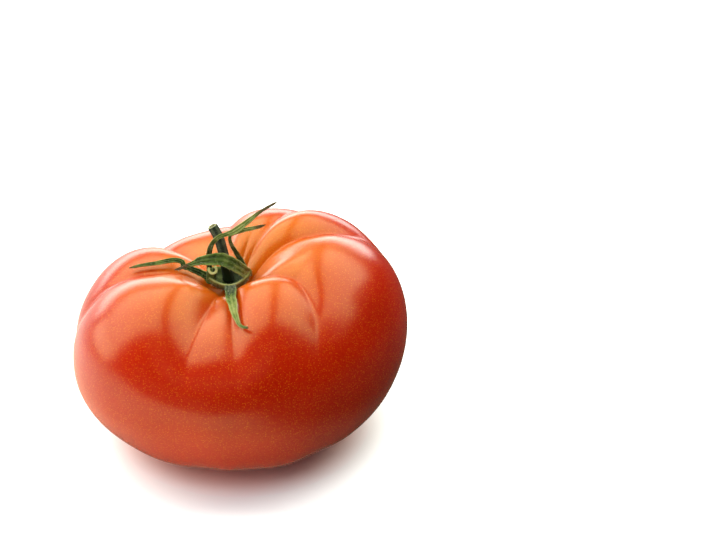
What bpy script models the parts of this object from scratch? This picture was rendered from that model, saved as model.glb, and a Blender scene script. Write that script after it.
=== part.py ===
"""Beefsteak tomato: a ribbed fruit, the green calyx in its stem pit and a cut stub of stalk.

The tables are in millimetres and MM turns them into metres. Z is up and the fruit rests on z = 0.
The fruit's side that is seen first faces -Y. Angles run from +X towards +Y.
"""

import math

import bmesh
import bpy
import numpy as np
from mathutils import Vector

MM = 0.001

# Fruit
REST_SPOT_RADIUS = 13.0
PIT_FLOOR_RADIUS = 5.5
PIT_FLOOR_HEIGHT = 49.0
PIT_CENTRE = (-3.0, -1.0)
UNDERSIDE_FULLNESS = 1.95
SHOULDER_FULLNESS = 2.05
PIT_WALL_FULLNESS = 2.2
SIDE_BLEND = 12.0
CREASE_SHORTEST_START = 1.75
CREASE_LONGEST_RUN = 1.35
CREASE_FADE = 0.75
CREASE_EASES_FROM = 1.95
CREASE_LEFT_AT_FLOOR = 0.25
CREASE_BEND_REACH = 0.6
UNDERSIDE_RINGS = 10
SHOULDER_RINGS = 13
PIT_RINGS = 10
DEGREES_A_COLUMN = 3.4

# The fruit's sizes as they change round it: angle, reach at the widest ring, height of that ring,
# crest radius, crest height
SIDES = [
    (5, 52.0, 37, 28, 62.5),
    (38, 52.5, 37, 27, 65.0),
    (74, 46.5, 35, 24, 61.3),
    (112, 42.5, 32, 22, 53.5),
    (158, 48.7, 29, 22, 56.5),
    (200, 49.3, 27, 22, 57.5),
    (235, 48.8, 27, 21, 58.5),
    (264, 48.0, 29, 15, 52.5),
    (292, 47.5, 30, 21, 60.0),
    (318, 48.0, 31, 22, 60.0),
    (342, 50.0, 35, 24, 62.5),
]
ANGLE, REACH, WAIST, CREST_RADIUS, CREST_HEIGHT = range(5)

# The creases between the ribs: angle, depth, how far down the side it runs (0 to 1; under 0 it stays
# in the pit), how far it spreads to each side in degrees and how far its lower end bends in degrees
CREASES = [
    (24, 4.0, 0.50, 11, 0),
    (55, 2.4, 0.50, 9, 0),
    (68, 1.3, -0.25, 4, 0),
    (92, 3.4, 0.60, 11, 0),
    (134, 4.2, 0.65, 11, 0),
    (182, 3.9, 0.72, 16, 0),
    (255, 3.2, 0.42, 11, 0),
    (276, 2.8, 0.45, 8, 0),
    (329, 3.0, 0.48, 10, -20),
]

# Calyx cup: radius and height down the outside, over the rim and in to the middle of its floor
CUP_PROFILE = [
    (3.2, 49.5), (4.7, 50.2), (5.9, 51.2), (6.4, 52.3), (6.1, 52.8), (5.4, 52.5),
    (4.8, 51.7), (3.8, 51.0), (2.4, 50.7),
]
CUP_FLATTENING = 0.86
CUP_SIDE_RISE = 1.5
CUP_SEGMENTS = 36

# Sepals: the middle line as x, y, z and width, then the way the blade's inner face looks from root to tip
SEPAL_THICKNESS = 0.65
SEPAL_CHANNEL = 0.14
BLADE_PLACES = (-1.0, -0.5, 0.0, 0.5, 1.0)
STEPS_A_SPAN = 3
SEPALS = {
    "right_arch": (
        [(2.3, -1.0, 51.8, 3.0), (2.8, -1.5, 53.2, 3.4), (1.8, -2.7, 55.0, 3.7),
         (0.0, -4.2, 57.2, 3.8), (-1.8, -4.9, 59.1, 3.9), (-3.7, -5.3, 60.2, 4.0),
         (-6.1, -5.4, 60.6, 3.8), (-8.4, -5.1, 60.3, 3.3), (-11.1, -4.5, 59.4, 2.5),
         (-13.3, -3.8, 58.2, 1.5), (-14.7, -3.5, 57.5, 1.1), (-16.2, -3.0, 56.5, 0.9),
         (-18.5, -2.4, 55.4, 0.8)],
        [(0.8, -0.5, 0.3), (0.3, -0.7, 0.7), (0.0, -0.6, 0.8), (0.0, -0.5, 0.9)],
    ),
    "tall": (
        [(-8.2, 1.1, 51.6, 2.8), (-8.7, 0.6, 54.5, 2.4), (-8.5, -0.6, 58.0, 2.0),
         (-8.3, -1.5, 60.6, 1.8), (-7.2, -3.2, 64.7, 1.4), (-5.3, -4.2, 67.2, 1.3),
         (-3.0, -4.4, 68.3, 1.3), (-0.3, -3.7, 69.2, 1.9), (3.3, -1.5, 71.0, 1.5),
         (6.1, 0.5, 72.6, 1.0), (8.9, 2.5, 73.5, 0.8), (11.4, 4.5, 74.1, 0.7)],
        [(0.9, -0.3, 0.2), (0.3, -0.9, 0.3), (0.0, -0.8, 0.6), (0.0, -0.7, 0.7)],
    ),
    "back_right": (
        [(1.0, 2.4, 51.6, 2.6), (1.4, 2.8, 53.1, 2.3), (0.6, 2.2, 56.1, 1.8),
         (-0.4, 1.2, 58.7, 1.5), (-1.4, 0.0, 61.5, 1.2), (-2.1, -1.6, 64.6, 1.0),
         (-2.1, -2.3, 66.2, 0.9), (-1.4, -2.2, 67.2, 1.0), (1.5, -1.5, 68.0, 1.2),
         (4.6, -0.5, 68.2, 1.1), (8.2, 0.5, 68.8, 0.7)],
        [(-0.6, -0.6, 0.4), (-0.2, -0.9, 0.3), (0.0, -0.8, 0.6), (0.0, -0.7, 0.7)],
    ),
    "left": (
        [(-8.4, -1.4, 51.6, 2.6), (-10.0, -0.6, 52.6, 2.2), (-11.7, 0.0, 53.3, 2.0),
         (-14.5, 0.2, 54.4, 1.7), (-16.0, 0.2, 55.1, 1.5), (-16.4, 0.8, 56.0, 1.5),
         (-17.6, 1.2, 56.5, 1.6), (-20.0, 1.2, 56.4, 1.7), (-24.4, 0.9, 55.7, 1.4),
         (-28.3, 0.6, 55.2, 1.1), (-32.1, 0.5, 54.4, 0.7)],
        [(0.2, -0.6, 0.8), (-0.1, -0.6, 0.8), (0.0, -0.4, 0.9), (0.0, -0.3, 0.9)],
    ),
    "front": (
        [(-2.2, -5.6, 51.5, 2.9), (-2.1, -7.4, 53.0, 2.9), (-1.9, -10.0, 54.1, 3.1),
         (-1.6, -12.9, 55.1, 3.3), (-1.3, -16.5, 55.9, 3.2), (-1.0, -19.4, 55.8, 3.0),
         (-0.6, -21.9, 55.5, 2.6), (0.3, -25.9, 54.8, 1.9), (1.1, -28.9, 54.2, 1.3),
         (1.9, -31.0, 54.1, 1.0), (3.3, -32.6, 54.4, 0.8), (4.4, -33.3, 54.7, 0.7)],
        [(0.0, 0.2, 1.0), (-0.3, -0.1, 1.0), (-0.1, -0.4, 0.9), (0.2, -0.6, 0.8)],
    ),
}

# Rolled stub of a broken sepal: middle line with radius, the ways its open side looks from root to end,
# the wall of the roll and its opening in degrees
STUB_LINE = [
    (-8.0, -2.6, 51.5, 1.45), (-7.9, -2.6, 53.6, 1.45), (-7.6, -2.9, 55.3, 1.45), (-7.3, -3.8, 56.3, 1.45),
]
STUB_FACINGS = [(0.3, 0.95, 0.0), (0.2, 0.9, 0.4)]
STUB_WALL = 0.7
STUB_OPENING = 80.0
STUB_SEGMENTS = 9

# Stalk: middle line with radius from its foot in the cup to the cut end
STALK_LINE = [
    (-3.0, -1.0, 51.5, 1.8), (-3.1, -1.0, 52.7, 1.65), (-3.6, -0.9, 56.0, 1.5), (-4.3, -0.8, 60.2, 1.45),
    (-5.5, -0.5, 65.2, 1.45), (-7.2, -0.2, 68.8, 1.5),
]
STALK_SEGMENTS = 18
STALK_CUT_BEVEL = 0.25

# Metres
MERGE_DISTANCE = 0.00001

# Degrees
SHARP_ANGLE = 40.0

# Colour and roughness of each node
FINISHES = {
    "fruit": ((0.62, 0.045, 0.008, 1.0), 0.15),
    "calyx": ((0.07, 0.13, 0.02, 1.0), 0.6),
    "stalk": ((0.03, 0.05, 0.022, 1.0), 0.7),
}


def clear_scene():
    for item in list(bpy.data.objects):
        bpy.data.objects.remove(item, do_unlink=True)


def smooth_step(low, high, value):
    t = np.clip((value - low) / (high - low), 0.0, 1.0)
    return t * t * (3.0 - 2.0 * t)


# Fruit

def around(column, angle):
    """One of the fruit's sizes at angles in degrees, blended from side to side."""
    sides = np.array(SIDES, float)
    nearness = np.cos(np.radians(angle[..., None] - sides[:, ANGLE])) - 1.0
    weights = np.exp(SIDE_BLEND * nearness)
    return (weights * sides[:, column]).sum(axis=-1) / weights.sum(axis=-1)


def quarter_arc(share, fullness):
    """A quarter turn's two legs, rising 0 to 1 and falling 1 to 0; more fullness squares the corner."""
    turn = share * math.pi / 2.0
    power = 2.0 / fullness
    return np.sin(turn) ** power, np.abs(np.cos(turn)) ** power


def smooth_profile(travel, angle):
    """Radius and height of the skin without creases.

    Travel runs 0 to 1 from the rest spot to the waist, to 2 at the crest and to 3 at the pit floor.
    """
    reach, waist = around(REACH, angle), around(WAIST, angle)
    crest_radius, crest_height = around(CREST_RADIUS, angle), around(CREST_HEIGHT, angle)
    rising, falling = quarter_arc(np.clip(travel, 0.0, 1.0), UNDERSIDE_FULLNESS)
    low_radius = REST_SPOT_RADIUS + (reach - REST_SPOT_RADIUS) * rising
    low_height = waist * (1.0 - falling)
    rising, falling = quarter_arc(np.clip(travel - 1.0, 0.0, 1.0), SHOULDER_FULLNESS)
    high_radius = crest_radius + (reach - crest_radius) * falling
    high_height = waist + (crest_height - waist) * rising
    down = np.clip(travel - 2.0, 0.0, 1.0)
    pit_radius = crest_radius + (PIT_FLOOR_RADIUS - crest_radius) * down
    pit_height = crest_height + (PIT_FLOOR_HEIGHT - crest_height) * down ** PIT_WALL_FULLNESS
    stages = [travel <= 1.0, travel <= 2.0]
    radius = np.select(stages, [low_radius, high_radius], pit_radius)
    height = np.select(stages, [low_height, high_height], pit_height)
    return radius, height


def crease_line(crease, travel):
    """The angle of a crease, which may bend below the crest."""
    angle, _, _, _, bend = crease
    return angle + bend * np.clip((2.0 - travel) / CREASE_BEND_REACH, 0.0, 1.0)


def sunk(travel, angle):
    """How deep the creases pull the skin in."""
    depth = np.zeros_like(travel)
    eased = (1.0 - CREASE_LEFT_AT_FLOOR) * smooth_step(CREASE_EASES_FROM, 3.0, travel)
    for crease in CREASES:
        _, full_depth, run, spread, _ = crease
        start = CREASE_SHORTEST_START - CREASE_LONGEST_RUN * run
        along = smooth_step(start, start + CREASE_FADE, travel) * (1.0 - eased)
        away = np.abs((angle - crease_line(crease, travel) + 180.0) % 360.0 - 180.0)
        depth += full_depth * along * np.exp(-away / spread)
    return depth


def skin(travel, angle):
    """Places on the skin, creases and all."""
    step = 0.001
    radius, height = smooth_profile(travel, angle)
    ahead = smooth_profile(np.minimum(travel + step, 3.0), angle)
    behind = smooth_profile(np.maximum(travel - step, 0.0), angle)
    outward, upward = ahead[0] - behind[0], ahead[1] - behind[1]
    length = np.hypot(outward, upward)
    depth = sunk(travel, angle)
    radius = radius - depth * upward / length
    height = height + depth * outward / length
    lean = smooth_step(0.0, 1.0, height / around(CREST_HEIGHT, angle))
    x = radius * np.cos(np.radians(angle)) + PIT_CENTRE[0] * lean
    y = radius * np.sin(np.radians(angle)) + PIT_CENTRE[1] * lean
    return np.stack([x, y, height], axis=-1)


def ring_places():
    low = np.linspace(0.0, 1.0, UNDERSIDE_RINGS, endpoint=False)
    high = np.linspace(1.0, 2.0, SHOULDER_RINGS, endpoint=False)
    pit = np.linspace(2.0, 3.0, PIT_RINGS + 1)
    return np.concatenate([low, high, pit])


def ring_angles(travel):
    """The angles of a ring's points, with a point on each crease and closer steps beside it."""
    lines = [crease_line(crease, travel) for crease in CREASES]
    lines.append(lines[0] + 360.0)
    angles = []
    for index, crease in enumerate(CREASES):
        following = CREASES[(index + 1) % len(CREASES)]
        count = round((following[ANGLE] - crease[ANGLE]) % 360 / DEGREES_A_COLUMN)
        even = np.arange(count) / count
        across = 0.5 * even + 0.25 * (1.0 - np.cos(math.pi * even))
        angles.extend(lines[index] + (lines[index + 1] - lines[index]) * across)
    return np.array(angles)


def bridge(bm, rings):
    for lower, upper in zip(rings, rings[1:]):
        count = len(lower)
        for here in range(count):
            there = (here + 1) % count
            bm.faces.new((lower[here], lower[there], upper[there], upper[here]))


def fan(bm, ring, centre):
    middle = bm.verts.new(centre)
    for here, vertex in enumerate(ring):
        bm.faces.new((vertex, ring[(here + 1) % len(ring)], middle))


def build_fruit():
    bm = bmesh.new()
    rings = []
    for travel in ring_places():
        angles = ring_angles(travel)
        places = skin(np.full_like(angles, travel), angles) * MM
        rings.append([bm.verts.new(place) for place in places])
    bridge(bm, rings)
    fan(bm, rings[0], (0.0, 0.0, 0.0))
    fan(bm, rings[-1], (PIT_CENTRE[0] * MM, PIT_CENTRE[1] * MM, PIT_FLOOR_HEIGHT * MM))
    return finish("fruit", bm)


# Swept pieces

def spline(points, steps):
    """A smooth line through points of any size, with steps to each span."""
    points = [np.array(point, float) for point in points]
    ends = [2 * points[0] - points[1]] + points + [2 * points[-1] - points[-2]]
    line = []
    for before, start, end, after in zip(ends, ends[1:], ends[2:], ends[3:]):
        for step in range(steps):
            t = step / steps
            line.append(0.5 * (2 * start + (end - before) * t
                               + (2 * before - 5 * start + 4 * end - after) * t * t
                               + (3 * start - before - 3 * end + after) * t ** 3))
    line.append(points[-1])
    return line


def blend(values, share):
    """The value part-way along a list, share running 0 to 1."""
    place = share * (len(values) - 1)
    index = min(int(place), len(values) - 2)
    part = place - index
    return Vector(values[index]).lerp(Vector(values[index + 1]), part)


def frames(line, facings):
    """Middle, side, face direction and size at each place on a line."""
    result = []
    for index, place in enumerate(line):
        before = line[max(index - 1, 0)]
        after = line[min(index + 1, len(line) - 1)]
        along = Vector(after[:3] - before[:3]).normalized()
        facing = blend(facings, index / (len(line) - 1))
        side = along.cross(facing).normalized()
        face = side.cross(along).normalized()
        result.append((Vector(place[:3]), side, face, float(place[3])))
    return result


def blade_section(width):
    """Outline of a sepal across its width: an upper side with a shallow channel and the side under it."""
    upper = []
    for across in BLADE_PLACES:
        dip = SEPAL_CHANNEL * width * (across * across - 0.5)
        upper.append((across * width / 2.0, dip + SEPAL_THICKNESS / 2.0))
    lower = [(across, rise - SEPAL_THICKNESS) for across, rise in reversed(upper)]
    return upper + lower


def roll_section(radius):
    """Outline of an open roll: the outer wall one way round and the inner wall back."""
    half = math.radians(STUB_OPENING / 2.0)
    outer = []
    inner = []
    for step in range(STUB_SEGMENTS + 1):
        turn = math.pi / 2.0 + half + (2.0 * math.pi - 2.0 * half) * step / STUB_SEGMENTS
        outer.append((radius * math.cos(turn), radius * math.sin(turn)))
        inner.append(((radius - STUB_WALL) * math.cos(turn), (radius - STUB_WALL) * math.sin(turn)))
    return outer + inner[::-1]


def round_section(radius):
    turns = [2.0 * math.pi * step / STALK_SEGMENTS for step in range(STALK_SEGMENTS)]
    return [(radius * math.cos(turn), radius * math.sin(turn)) for turn in turns]


def sweep(bm, line, facings, section):
    rings = []
    for middle, side, face, size in frames(line, facings):
        ring = [middle + side * across + face * rise for across, rise in section(size)]
        rings.append([bm.verts.new(place * MM) for place in ring])
    bridge(bm, rings)
    bm.faces.new(rings[0])
    bm.faces.new(rings[-1])


# Calyx

def build_cup():
    bm = bmesh.new()
    rings = []
    for radius, height in CUP_PROFILE:
        ring = []
        for step in range(CUP_SEGMENTS):
            turn = 2.0 * math.pi * step / CUP_SEGMENTS
            x = PIT_CENTRE[0] + radius * math.cos(turn)
            y = PIT_CENTRE[1] + radius * math.sin(turn) * CUP_FLATTENING
            up_the_wall = smooth_step(CUP_PROFILE[0][1], CUP_PROFILE[4][1], height)
            rise = CUP_SIDE_RISE * up_the_wall * math.cos(turn) ** 2
            ring.append(bm.verts.new(Vector((x, y, height + rise)) * MM))
        rings.append(ring)
    bridge(bm, rings)
    for ring, height in ((rings[0], CUP_PROFILE[0][1]), (rings[-1], CUP_PROFILE[-1][1])):
        fan(bm, ring, Vector((PIT_CENTRE[0], PIT_CENTRE[1], height)) * MM)
    return finish("calyx", bm)


def build_sepal(name, points, facings):
    bm = bmesh.new()
    sweep(bm, spline(points, STEPS_A_SPAN), facings, blade_section)
    return finish(name, bm)


def build_stub():
    bm = bmesh.new()
    sweep(bm, spline(STUB_LINE, STEPS_A_SPAN), STUB_FACINGS, roll_section)
    return finish("stub", bm)


def fuse(target, pieces):
    """Join pieces to the target with one union and drop them."""
    group = bpy.data.collections.new("pieces")
    bpy.context.scene.collection.children.link(group)
    for piece in pieces:
        bpy.context.scene.collection.objects.unlink(piece)
        group.objects.link(piece)
    union = target.modifiers.new("union", "BOOLEAN")
    union.operation = "UNION"
    union.operand_type = "COLLECTION"
    union.collection = group
    union.solver = "EXACT"
    bpy.context.view_layer.objects.active = target
    bpy.ops.object.modifier_apply(modifier=union.name)
    for piece in pieces:
        bpy.data.objects.remove(piece, do_unlink=True)
    bpy.data.collections.remove(group)


def build_calyx():
    calyx = build_cup()
    pieces = [build_sepal(name, *shape) for name, shape in SEPALS.items()]
    pieces.append(build_stub())
    fuse(calyx, pieces)
    bm = bmesh.new()
    bm.from_mesh(calyx.data)
    bmesh.ops.remove_doubles(bm, verts=bm.verts, dist=MERGE_DISTANCE)
    bmesh.ops.triangulate(bm, faces=bm.faces)
    bm.to_mesh(calyx.data)
    bm.free()
    return calyx


# Stalk

def build_stalk():
    bm = bmesh.new()
    towards_front = (0.0, -1.0, 0.0)
    line = spline(STALK_LINE, STEPS_A_SPAN)
    end = line[-1].copy()
    back = Vector(line[-2][:3] - end[:3]).normalized() * STALK_CUT_BEVEL
    line[-1] = end + np.array([*back, 0.0])
    line.append(end - np.array([0.0, 0.0, 0.0, STALK_CUT_BEVEL]))
    sweep(bm, line, [towards_front, towards_front], round_section)
    return finish("stalk", bm)


# Objects

def shade(mesh):
    """Smooth shading that keeps the sharp edges."""
    mesh.shade_smooth()
    mesh.set_sharp_from_angle(angle=math.radians(SHARP_ANGLE))


def paint(item, name):
    material = bpy.data.materials.new(name)
    material.use_nodes = True
    shader = material.node_tree.nodes["Principled BSDF"]
    colour, roughness = FINISHES[name]
    shader.inputs["Base Color"].default_value = colour
    shader.inputs["Roughness"].default_value = roughness
    item.data.materials.clear()
    item.data.materials.append(material)


def finish(name, bm):
    bmesh.ops.recalc_face_normals(bm, faces=bm.faces)
    bmesh.ops.triangulate(bm, faces=bm.faces)
    mesh = bpy.data.meshes.new(name)
    bm.to_mesh(mesh)
    bm.free()
    item = bpy.data.objects.new(name, mesh)
    bpy.context.scene.collection.objects.link(item)
    return item


def main():
    clear_scene()
    for name, build in (("fruit", build_fruit), ("calyx", build_calyx), ("stalk", build_stalk)):
        item = build()
        shade(item.data)
        paint(item, name)


main()
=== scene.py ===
"""Beefsteak tomato: the fine skin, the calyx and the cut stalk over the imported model, on a pale floor.

The tables are in millimetres and MM turns them into metres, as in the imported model.
"""

import math

import bpy
import numpy as np
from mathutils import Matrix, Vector, noise


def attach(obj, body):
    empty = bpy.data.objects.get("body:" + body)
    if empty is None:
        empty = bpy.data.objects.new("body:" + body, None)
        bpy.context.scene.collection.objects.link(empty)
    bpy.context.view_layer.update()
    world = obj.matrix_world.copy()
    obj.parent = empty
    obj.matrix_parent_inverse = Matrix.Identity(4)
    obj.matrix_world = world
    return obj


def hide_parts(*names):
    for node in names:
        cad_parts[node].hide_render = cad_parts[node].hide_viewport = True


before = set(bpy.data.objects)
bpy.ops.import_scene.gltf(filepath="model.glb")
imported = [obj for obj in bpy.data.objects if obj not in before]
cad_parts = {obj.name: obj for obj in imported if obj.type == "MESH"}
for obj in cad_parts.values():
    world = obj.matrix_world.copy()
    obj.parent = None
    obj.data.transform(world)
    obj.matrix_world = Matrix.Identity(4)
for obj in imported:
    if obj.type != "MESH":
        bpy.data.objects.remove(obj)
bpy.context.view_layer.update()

MM = 0.001

# Fruit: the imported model's own sizes
REST_SPOT_RADIUS = 13.0
PIT_FLOOR_RADIUS = 5.5
PIT_FLOOR_HEIGHT = 49.0
PIT_CENTRE = (-3.0, -1.0)
UNDERSIDE_FULLNESS = 1.95
SHOULDER_FULLNESS = 2.05
PIT_WALL_FULLNESS = 2.2
SIDE_BLEND = 12.0
CREASE_SHORTEST_START = 1.75
CREASE_LONGEST_RUN = 1.35
CREASE_FADE = 0.75
CREASE_EASES_FROM = 1.95
CREASE_LEFT_AT_FLOOR = 0.25
CREASE_BEND_REACH = 0.6

# Angle, reach at the widest ring, height of that ring, crest radius, crest height
SIDES = [
    (5, 52.0, 37, 28, 62.5),
    (38, 52.5, 37, 27, 65.0),
    (74, 46.5, 35, 24, 61.3),
    (112, 42.5, 32, 22, 53.5),
    (158, 48.7, 29, 22, 56.5),
    (200, 49.3, 27, 22, 57.5),
    (235, 48.8, 27, 21, 58.5),
    (264, 48.0, 29, 15, 52.5),
    (292, 47.5, 30, 21, 60.0),
    (318, 48.0, 31, 22, 60.0),
    (342, 50.0, 35, 24, 62.5),
]
ANGLE, REACH, WAIST, CREST_RADIUS, CREST_HEIGHT = range(5)

# Angle, depth, run down the side, spread in degrees, bend of the lower end in degrees
CREASES = [
    (24, 4.0, 0.50, 11, 0),
    (55, 2.4, 0.50, 9, 0),
    (68, 1.3, -0.25, 4, 0),
    (92, 3.4, 0.60, 11, 0),
    (134, 4.2, 0.65, 11, 0),
    (182, 3.9, 0.72, 16, 0),
    (255, 3.2, 0.42, 11, 0),
    (276, 2.8, 0.45, 8, 0),
    (329, 3.0, 0.48, 10, -20),
]

# Fruit: what only the fine skin has. Pairs are the start and the end of a smooth step; travel runs from
# 0 at the rest spot's edge over 1 at the waist and 2 at the crest to 3 at the pit's floor
SLOPE_STEP = 0.001
CREASE_ROUNDING = 0.8
CREASE_MARK_SPREAD = 5.0
CREASE_MARK_FULL_DEPTH = 3.0
TRACE_DEPTH = 0.7
TRACE_SPREAD = 9.0
TRACE_STARTS = (0.05, 0.35)
TRACE_ENDS = (0.6, 1.3)
UNEVEN_HEIGHT = 0.22
UNEVEN_SCALE = 13.0
UNEVEN_SEED = 7.3
UNEVEN_STARTS = (0.1, 0.5)
UNEVEN_ENDS = (2.5, 2.9)
FRUIT_MIDDLE = (0.0, 0.0, 30.0)
PIT_END_SIZE = 0.02
SCAR_DIMPLE = 1.1
SCAR_DIMPLE_RADIUS = 10.0
SCAR_RADIUS = 3.2
SCAR_RISE = 0.25
SCAR_EDGE = (0.8, 1.1)
STAR_WAVES = ((0.22, 5.0), (0.1, 13.0))
SPOT_INNERMOST = 0.01
FINE_COLUMNS = 320
FINE_SPOT_RINGS = 26
FINE_UNDERSIDE_RINGS = 34
FINE_SHOULDER_RINGS = 52
FINE_PIT_RINGS = 34

# Calyx cup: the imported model's own profile, radius and height
CUP_PROFILE = [
    (3.2, 49.5), (4.7, 50.2), (5.9, 51.2), (6.4, 52.3), (6.1, 52.8), (5.4, 52.5),
    (4.8, 51.7), (3.8, 51.0), (2.4, 50.7), (0.3, 50.6),
]
CUP_FLATTENING = 0.86
CUP_SIDE_RISE = 1.5
CUP_STEPS = 4
CUP_COLUMNS = 96
CUP_RIM_PLACE = 0.42
CUP_RIM_WIDTH = 0.07
# Painted shade: the inside of the cup is painted near black from CUP_INSIDE_STARTS to CUP_INSIDE_FULL along
# its profile
CUP_INSIDE_STARTS = 0.47
CUP_INSIDE_FULL = 0.68

# Sepals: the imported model's own middle lines (x, y, z, width) and face directions, then how light the
# green is from root to tip and where the dried brown of the tip starts and how brown the root is
BLADE_THICKNESS = 0.65
BLADE_EDGE = 0.22
BLADE_CHANNEL = 0.14
BLADE_RIDGE = 0.09
BLADE_COLUMNS = 15
BLADE_STEPS = 8
BLADE_FULL_RIDGE_WIDTH = 2.5
BLADE_KEEL_SHARE = 0.4
BLADE_TIP_LENGTH = 0.04
BLADE_TIP_SIZE = 0.12
BLADE_LAST_RING = 0.1
BLADE_WAVES = ((0.07, 31.0), (0.04, 77.0))
BROWN_ROOT = (0.06, 0.26)
SEPALS = {
    "right_arch": (
        [(2.3, -1.0, 51.8, 3.0), (2.8, -1.5, 53.2, 3.4), (1.8, -2.7, 55.0, 3.7),
         (0.0, -4.2, 57.2, 3.8), (-1.8, -4.9, 59.1, 3.9), (-3.7, -5.3, 60.2, 4.0),
         (-6.1, -5.4, 60.6, 3.8), (-8.4, -5.1, 60.3, 3.3), (-11.1, -4.5, 59.4, 2.5),
         (-13.3, -3.8, 58.2, 1.5), (-14.7, -3.5, 57.5, 1.1), (-16.2, -3.0, 56.5, 0.9),
         (-18.5, -2.4, 55.4, 0.8)],
        [(0.8, -0.5, 0.3), (0.3, -0.7, 0.7), (0.0, -0.6, 0.8), (0.0, -0.5, 0.9)],
        [0.45, 0.5, 0.42, 0.32, 0.26, 0.24, 0.12, 0.05], 0.80, 0.9,
    ),
    "tall": (
        [(-8.2, 1.1, 51.6, 2.8), (-8.7, 0.6, 54.5, 2.4), (-8.5, -0.6, 58.0, 2.0),
         (-8.3, -1.5, 60.6, 1.8), (-7.2, -3.2, 64.7, 1.4), (-5.3, -4.2, 67.2, 1.3),
         (-3.0, -4.4, 68.3, 1.3), (-0.3, -3.7, 69.2, 1.9), (3.3, -1.5, 71.0, 1.5),
         (6.1, 0.5, 72.6, 1.0), (8.9, 2.5, 73.5, 0.8), (11.4, 4.5, 74.1, 0.7)],
        [(0.9, -0.3, 0.2), (0.3, -0.9, 0.3), (0.0, -0.8, 0.6), (0.0, -0.7, 0.7)],
        [0.25, 0.3, 0.4, 0.5, 0.6, 0.75, 0.6, 0.4], 0.80, 0.0,
    ),
    "back_right": (
        [(1.0, 2.4, 51.6, 2.6), (1.4, 2.8, 53.1, 2.3), (0.6, 2.2, 56.1, 1.8),
         (-0.4, 1.2, 58.7, 1.5), (-1.4, 0.0, 61.5, 1.2), (-2.1, -1.6, 64.6, 1.0),
         (-2.1, -2.3, 66.2, 0.9), (-1.4, -2.2, 67.2, 1.0), (1.5, -1.5, 68.0, 1.2),
         (4.6, -0.5, 68.2, 1.1), (8.2, 0.5, 68.8, 0.7)],
        [(-0.6, -0.6, 0.4), (-0.2, -0.9, 0.3), (0.0, -0.8, 0.6), (0.0, -0.7, 0.7)],
        [0.05, 0.15, 0.4, 0.5, 0.5, 0.5, 0.7, 0.5], 0.90, 0.0,
    ),
    "left": (
        [(-8.4, -1.4, 51.6, 2.6), (-10.0, -0.6, 52.6, 2.2), (-11.7, 0.0, 53.3, 2.0),
         (-14.5, 0.2, 54.4, 1.7), (-16.0, 0.2, 55.1, 1.5), (-16.4, 0.8, 56.0, 1.5),
         (-17.6, 1.2, 56.5, 1.6), (-20.0, 1.2, 56.4, 1.7), (-24.4, 0.9, 55.7, 1.4),
         (-28.3, 0.6, 55.2, 1.1), (-32.1, 0.5, 54.4, 0.7)],
        [(0.2, -0.6, 0.8), (-0.1, -0.6, 0.8), (0.0, -0.4, 0.9), (0.0, -0.3, 0.9)],
        [0.08, 0.08, 0.06, 0.06, 0.14, 0.24, 0.34, 0.4], 0.95, 0.0,
    ),
    "front": (
        [(-2.2, -5.6, 51.5, 2.9), (-2.1, -7.4, 53.0, 2.9), (-1.9, -10.0, 54.1, 3.1),
         (-1.6, -12.9, 55.1, 3.3), (-1.3, -16.5, 55.9, 3.2), (-1.0, -19.4, 55.8, 3.0),
         (-0.6, -21.9, 55.5, 2.6), (0.3, -25.9, 54.8, 1.9), (1.1, -28.9, 54.2, 1.3),
         (1.9, -31.0, 54.1, 1.0), (3.3, -32.6, 54.4, 0.8), (4.4, -33.3, 54.7, 0.7)],
        [(0.0, 0.2, 1.0), (-0.3, -0.1, 1.0), (-0.1, -0.4, 0.9), (0.2, -0.6, 0.8)],
        [0.0, -0.25, -0.25, 0.35, 0.75, 0.65, 0.5, 0.35], 0.95, 0.0,
    ),
}

# Rolled stub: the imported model's own middle line with radius, then its facings, wall and opening in degrees
STUB_LINE = [
    (-8.0, -2.6, 51.5, 1.45), (-7.9, -2.6, 53.6, 1.45), (-7.6, -2.9, 55.3, 1.45), (-7.3, -3.8, 56.3, 1.45),
]
STUB_FACINGS = [(0.3, 0.95, 0.0), (-0.4, 0.85, 0.45)]
STUB_WALL = 0.7
STUB_OPENING = 80.0
STUB_SEGMENTS = 22
STUB_STEPS = 8

# Stalk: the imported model's own middle line with radius
STALK_LINE = [
    (-3.0, -1.0, 51.5, 1.8), (-3.1, -1.0, 52.7, 1.65), (-3.6, -0.9, 56.0, 1.5), (-4.3, -0.8, 60.2, 1.45),
    (-5.5, -0.5, 65.2, 1.45), (-7.2, -0.2, 68.8, 1.5),
]
STALK_SEGMENTS = 40
STALK_RIBS = 6
STALK_RIB_HEIGHT = 0.07
STALK_STEPS = 9
# Painted shade: below these heights the stalk's foot, inside the cup, is painted near black
STALK_SHADED_PART = (57.5, 60.5)
# The cut end, from its edge to its middle: size, how far it is sunk, how freshly cut, how far inside
# The dark middle, set by how far inside, is partly the core's own brown and partly painted shade in its sunk
# hollow
STALK_CUT = [
    (1.0, 0.0, 0.4, 0.0), (0.93, -0.06, 1.0, 0.0), (0.80, -0.05, 1.0, 0.1), (0.66, 0.10, 1.0, 0.8),
    (0.5, 0.35, 1.0, 1.0), (0.25, 0.45, 1.0, 1.0), (0.02, 0.40, 1.0, 0.7),
]

HAIRS = {"fine_calyx": 2600, "fine_stalk": 900}
# Hairs stay off the painted shade: the calyx's deep mark and the stalk's low mark
BARE_MARKS = {"calyx": "deep", "stalk": "low"}
HAIR_LENGTH = (0.3, 0.8)
HAIR_RADIUS = 0.022
HAIR_SEED = 11
HAIR_SCATTER = 0.35
HAIR_DROOP = 0.15
HAIR_BEND = 0.15
# The rings of a hair as its share of the length and of the radius, and the turns of their three corners
HAIR_RINGS = ((-0.1, 1.0), (0.55, 0.7))
HAIR_TURNS = (0.0, 2.1, 4.2)


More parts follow.
